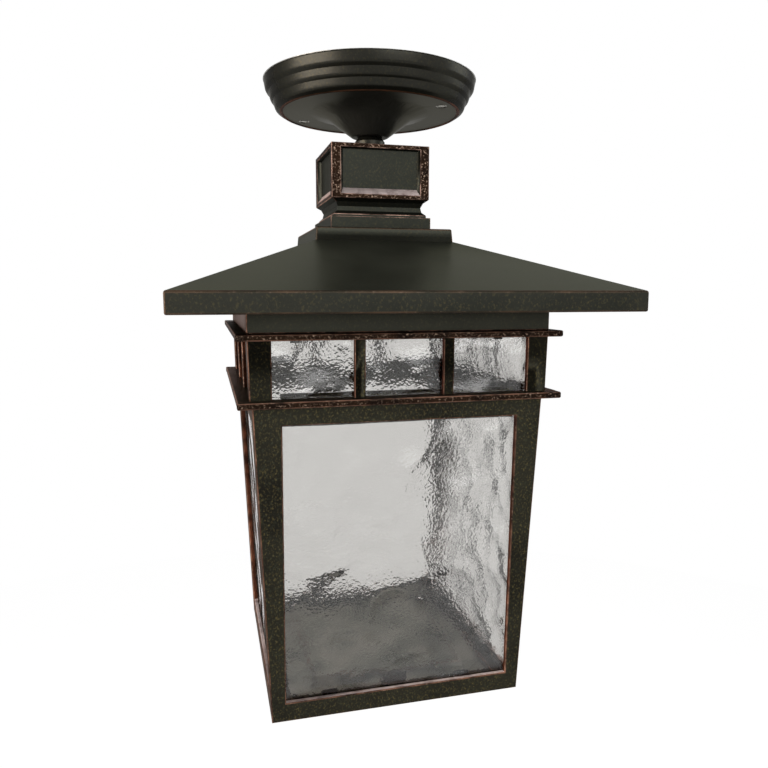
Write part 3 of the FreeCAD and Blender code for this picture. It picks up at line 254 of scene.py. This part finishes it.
castBronze = oilRubbedBronze("oilRubbedBronzeCast", castLook)
smoothBronze = oilRubbedBronze("oilRubbedBronzeSmooth", smoothLook)
spunBronze = oilRubbedBronze("oilRubbedBronzeSpun", spunLook)
undersidePaintedLight = oilRubbedBronze("oilRubbedBronzeUndersidePaintedLight", undersidePaintedLightLook)
stemBronze = oilRubbedBronze("oilRubbedBronzeStem", stemLook)
slopePaintedSheen = oilRubbedBronze("oilRubbedBronzeSlopePaintedSheen", slopePaintedSheenLook)
fasciaBronze = oilRubbedBronze("oilRubbedBronzeFascia", fasciaLook)
neckBronze = oilRubbedBronze("oilRubbedBronzeNeck", neckLook)
panPaintedLight = oilRubbedBronze("bronzePanPaintedLight", panPaintedLightLook)
wornEdge = rubbedCopper("rubbedCopperEdge", edgeLook)
stemEdge = rubbedCopper("rubbedCopperStemEdge", stemEdgeLook)
roofEdge = rubbedCopper("rubbedCopperRoofEdge", roofEdgeLook)
footLine = rubbedCopper("rubbedCopperFoot", footLook)
wornRim = rubbedCopper("rubbedCopperRim", rimLook)
wornReveal = rubbedCopper("rubbedCopperReveal", revealLook)
paintedHighlightBevel = rubbedCopper("copperBevelPaintedHighlight", paintedHighlightLook)
finishes = {
    "bronze": castBronze,
    "steel": plainMetal("zincPlatedSteel", hardware["steel"]),
    "green_steel": plainMetal("greenGroundScrew", hardware["ground"]),
    "brass": plainMetal("drawnBrass", hardware["brass"]),
    "porcelain": glazedPorcelain(),
    "clear_glass": hammeredGlass(),
}
darkSteel = plainMetal("blackZincSteel", hardware["dark"])  # seen behind the glass, so finished dark
behindGlass = ("glass_clips", "glass_clip_screws", "retainer_screws", "corner_screws", "wall_screws",
               "door_catch", "catch_rivets", "hinge_pin")
for part in frame["record"]["subparts"]:
    solid = nodes[part["node"]]
    for slot in solid.material_slots:
        slot.material = darkSteel if part["node"] in behindGlass else finishes[part["material_slot"]]
print("finishes ready")


sides = ("front", "right", "back", "left")
casting = {"merge": 0.00001, "flat": math.radians(0.5), "sharp": math.radians(28)}


def reach(point):  # how far out from the lantern's axis, on its square plan
    return max(abs(point.x), abs(point.y))


def within(value, limits):
    return limits[0] < value < limits[1]


def solidCopy(name, ending, materials):
    # the solid's mesh under a new name, with its loose triangles joined
    piece = addObject(name + ending, nodes[name].data.copy())
    piece.data.materials.clear()
    for material in materials:
        piece.data.materials.append(material)
    shape = bmesh.new()
    shape.from_mesh(piece.data)
    bmesh.ops.remove_doubles(shape, verts=shape.verts, dist=casting["merge"])
    return piece, shape


def wornCopy(name, body, look, finish=None):
    # a small round on the solid's outer edges; finish says which of the look's slots a face takes
    piece, shape = solidCopy(name, "_worn", look["slots"])
    bmesh.ops.dissolve_limit(shape, angle_limit=casting["flat"], verts=shape.verts, edges=shape.edges)
    weight = shape.edges.layers.float.new("bevel_weight_edge")
    for face in shape.faces:
        face.smooth = True
        face.material_index = finish(face) if finish else 0
    for edge in shape.edges:
        bend = edge.calc_face_angle_signed(0)
        outside = all(reach(corner.co) > look["beyond"] for corner in edge.verts)
        rounded = bend > casting["sharp"] and outside and edge.calc_length() > look["shortest"]
        edge[weight] = 1.0 if rounded else 0.0
        edge.smooth = rounded or abs(bend) < casting["sharp"]
    shape.to_mesh(piece.data)
    shape.free()
    bevel = piece.modifiers.new("roundEdges", "BEVEL")
    bevel.limit_method = "WEIGHT"
    bevel.width = look["round"]
    bevel.segments = look["segments"]
    bevel.material = look["edgeSlot"]  # -1 gives the round the finish of the face beside it
    bevel.use_clamp_overlap = False
    piece.modifiers.new("flatFaces", "WEIGHTED_NORMAL").keep_sharp = True
    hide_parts(name)
    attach(piece, body)


# upright, slanted, level, upward and downward limit the z of a face's normal: 0 on an upright face, 1 on a
# level one that faces up

wall = {"slots": (castBronze, wornEdge, wornRim, wornReveal, paintedHighlightBevel), "edgeSlot": 1,
        "round": 0.0006, "segments": 2, "beyond": 0.0665, "shortest": 0.004,
        "rims": ((-0.14355, -0.13985), (-0.1762, -0.1724)), "rimReach": 0.079, "upright": 0.5,
        "shelf": (-0.1765, -0.1725), "window": (-0.3365, -0.1436), "sill": -0.3355, "frameReach": 0.0675,
        "sideways": 0.75, "level": 0.7}


def wallFinish(face):  # 2 on the fronts of ledge and shelf, 3 on the openings' sides, 4 on the window's sill, which carries a painted highlight
    middle, out = face.calc_center_median(), face.normal
    onRim = any(within(middle.z, rim) for rim in wall["rims"])
    if onRim and abs(out.z) < wall["upright"] and reach(middle) > wall["rimReach"]:
        return 2
    outwards = abs(out.dot(Vector((middle.x, middle.y, 0)).normalized()))
    inReveal = outwards < wall["sideways"] or abs(out.z) > wall["level"]
    onFrame = reach(middle) > wall["beyond"] and min(abs(middle.x), abs(middle.y)) < wall["frameReach"]
    atOpening = within(middle.z, wall["window"]) and not within(middle.z, wall["shelf"])
    if inReveal and onFrame and atOpening:
        return 4 if middle.z < wall["sill"] else 3
    return 0


for side in sides:
    wornCopy(side + "_wall", "lantern", wall, wallFinish)
print("walls worn")

stem = {"slots": (stemBronze, stemEdge, wornRim, paintedHighlightBevel), "edgeSlot": 1, "round": 0.0003,
        "segments": 2, "beyond": 0.0195, "shortest": 0.004, "borderReach": 0.0275,
        "borderFoot": -0.0686, "bevelReach": 0.024, "upright": 0.3, "slanted": (0.25, 0.95)}


def stemFinish(face):  # 2 on the panels' borders, 3 on the bevel at the foot of each panel, which carries a painted highlight
    middle, out = face.calc_center_median(), face.normal
    if middle.z < stem["borderFoot"]:
        return 0
    if abs(out.z) < stem["upright"] and reach(middle) > stem["borderReach"]:
        return 2
    return 3 if reach(middle) > stem["bevelReach"] and within(out.z, stem["slanted"]) else 0


wornCopy("stem", "lantern", stem, stemFinish)
print("stem worn")

roof = {"slots": (smoothBronze, roofEdge, slopePaintedSheen, fasciaBronze), "edgeSlot": 1, "round": 0.0009,
        "segments": 3, "beyond": 0.0365, "shortest": 0.004, "fasciaReach": 0.11,
        "upright": 0.3, "slanted": (0.5, 0.98)}


def roofFinish(face):  # 2 on the slopes, painted paler as a painted sheen of light from above, 3 on the fascia
    middle, out = face.calc_center_median(), face.normal
    if reach(middle) > roof["fasciaReach"] and abs(out.z) < roof["upright"]:
        return 3
    return 2 if within(out.z, roof["slanted"]) else 0


neck = {"slots": (neckBronze, wornEdge), "edgeSlot": 1, "round": 0.0006, "segments": 2, "beyond": 0.077,
        "shortest": 0.004}
wornCopy("roof", "lantern", roof, roofFinish)
wornCopy("cage_top", "lantern", neck)
print("roof and neck worn")

canopy = {"slots": (spunBronze, footLine, finishes["steel"], undersidePaintedLight), "edgeSlot": -1,
          "round": 0.0009, "segments": 3, "beyond": 0.0, "shortest": 0.0, "bead": (0.0499, 0.0529),
          "beadBottom": -0.0171, "holeCircle": 0.04445, "holeTurn": math.radians(-38.5), "holeReach": 0.0028,
          "upward": 0.3, "inward": -0.1, "downward": -0.6}
collar = {"slots": (spunBronze, footLine), "edgeSlot": 0, "round": 0.0006, "segments": 2, "beyond": 0.0,
          "shortest": 0.002}


def canopyFinish(face):  # 1 on the rubbed line around the foot, 2 inside and in the holes, 3 underneath, painted paler as painted light
    middle, out = face.calc_center_median(), face.normal
    along = Vector((math.cos(canopy["holeTurn"]), math.sin(canopy["holeTurn"]), 0))
    for side in (-1, 1):
        if (middle - side * canopy["holeCircle"] * along).xy.length < canopy["holeReach"]:
            return 2
    if within(math.hypot(middle.x, middle.y), canopy["bead"]) and middle.z < canopy["beadBottom"]:
        return 1
    outwards = out.dot(Vector((middle.x, middle.y, 0)).normalized())
    if out.z > canopy["upward"] or outwards < canopy["inward"]:
        return 2
    return 3 if out.z < canopy["downward"] and middle.z < canopy["beadBottom"] else 0


wornCopy("canopy", "ceiling_mount", canopy, canopyFinish)
wornCopy("swivel_collar", "ceiling_mount", collar)
print("canopy worn")

strip = {"lip": -0.1703}  # top of the retainers' upper lip, just above the foot of the lights


def trimmedStrip(name):
    # the folded strip behind the shelf, its lip cut down so that it hides less of the lights
    piece, shape = solidCopy(name, "_trimmed", [castBronze])
    for corner in shape.verts:
        corner.co.z = min(corner.co.z, strip["lip"])
    shape.to_mesh(piece.data)
    shape.free()
    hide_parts(name)
    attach(piece, "lantern")


for side in sides:
    trimmedStrip(side + "_pane_retainer")
print("retainers trimmed")

pan = {"slots": (smoothBronze, wornEdge, panPaintedLight), "edgeSlot": 1, "round": 0.0005, "segments": 2,
       "beyond": 0.0, "shortest": 0.02, "upward": 0.5}


def panFinish(face):  # 2 on the upper side, seen through the glass, painted pale as painted light that stands in for the light seen on it through the glass
    return 2 if face.normal.z > pan["upward"] else 0


wornCopy("bottom_door", "door", pan, panFinish)
print("bottom pan worn")


photoView = {"place": (-0.09777, -0.41725, -0.11942), "yaw": 14.32, "pitch": -7.61, "roll": -0.05,
             "focal": 700.71, "frame": 768, "sensor": 36, "near": 0.02}
camera = addObject("photoCamera", bpy.data.cameras.new("photoCamera"))
camera.data.sensor_width = photoView["sensor"]
camera.data.lens = photoView["sensor"] * photoView["focal"] / photoView["frame"]
camera.data.clip_start = photoView["near"]
camera.location = photoView["place"]
camera.rotation_mode = "XYZ"
camera.rotation_euler = Euler((math.radians(90 + photoView["pitch"]), math.radians(photoView["roll"]),
                               math.radians(-photoView["yaw"])), "XYZ")
bpy.context.scene.camera = camera
print("camera placed")

studio = {"world": 0.55, "white": (1, 1, 1, 1), "floorDepth": -1.1, "floorRadius": 2.2, "floorSides": 96,
          "floorColour": "#e8e8e6", "floorGlow": 0.93, "floorShade": (0.1, 0.1, 0.1, 1), "aim": (0, 0, -0.17),
          "lamps": (  # place, width, watts, colour
              ("leftSoftbox", (-1.1, -0.35, 0.05), 0.9, 22, "#fff3ea"),
              ("frontSoftbox", (0.35, -1.5, 0.5), 1.2, 12, "#ffffff"),
              ("rightSoftbox", (1.2, 0.1, 0.3), 0.7, 8, "#eef4ff"))}


def whiteToEye(tree, plain, white):
    # eye, metal and glass see the white one; the light on the lantern comes from the plain one
    path = addNode(tree, "ShaderNodeLightPath")
    seen = path.outputs["Is Camera Ray"]
    for ray in ("Is Glossy Ray", "Is Transmission Ray"):
        either = addNode(tree, "ShaderNodeMath", {0: seen, 1: path.outputs[ray]}, operation="MAXIMUM")
        seen = either.outputs[0]
    return addNode(tree, "ShaderNodeMixShader", {0: seen, 1: plain, 2: white}).outputs[0]


world = bpy.data.worlds.new("studio")
bpy.context.scene.world = world
world.use_nodes = True
sky = world.node_tree
sky.nodes.clear()
plainSky = addNode(sky, "ShaderNodeBackground", {"Color": studio["white"], "Strength": studio["world"]})
whiteSky = addNode(sky, "ShaderNodeBackground", {"Color": studio["white"], "Strength": 1.0})
addNode(sky, "ShaderNodeOutputWorld", {
    "Surface": whiteToEye(sky, plainSky.outputs[0], whiteSky.outputs[0])})

floorMaterial, floorTree = newMaterial("paleFloor")
paint = addNode(floorTree, "ShaderNodeBsdfDiffuse", {"Color": srgb(studio["floorColour"])})
glow = addNode(floorTree, "ShaderNodeEmission", {"Color": studio["white"], "Strength": studio["floorGlow"]})
shade = addNode(floorTree, "ShaderNodeBsdfDiffuse", {"Color": studio["floorShade"]})  # keeps the shadow
direct = addNode(floorTree, "ShaderNodeAddShader", {0: glow.outputs[0], 1: shade.outputs[0]})
addNode(floorTree, "ShaderNodeOutputMaterial", {
    "Surface": whiteToEye(floorTree, paint.outputs[0], direct.outputs[0])})
floor = addObject("floor", bpy.data.meshes.new("floor"))
shape = bmesh.new()
bmesh.ops.create_circle(shape, cap_ends=True, segments=studio["floorSides"], radius=studio["floorRadius"])
bmesh.ops.translate(shape, verts=shape.verts, vec=(0, 0, studio["floorDepth"]))
shape.to_mesh(floor.data)
shape.free()
floor.data.materials.append(floorMaterial)

aim = Vector(studio["aim"])
for name, place, wide, power, colour in studio["lamps"]:
    lamp = addObject(name, bpy.data.lights.new(name, "AREA"))
    lamp.data.shape = "SQUARE"
    lamp.data.size = wide
    lamp.data.energy = power
    lamp.data.color = srgb(colour)[:3]
    lamp.location = place
    lamp.rotation_euler = (aim - Vector(place)).to_track_quat("-Z", "Y").to_euler()
bpy.context.scene.view_settings.view_transform = "Standard"
print("studio ready")
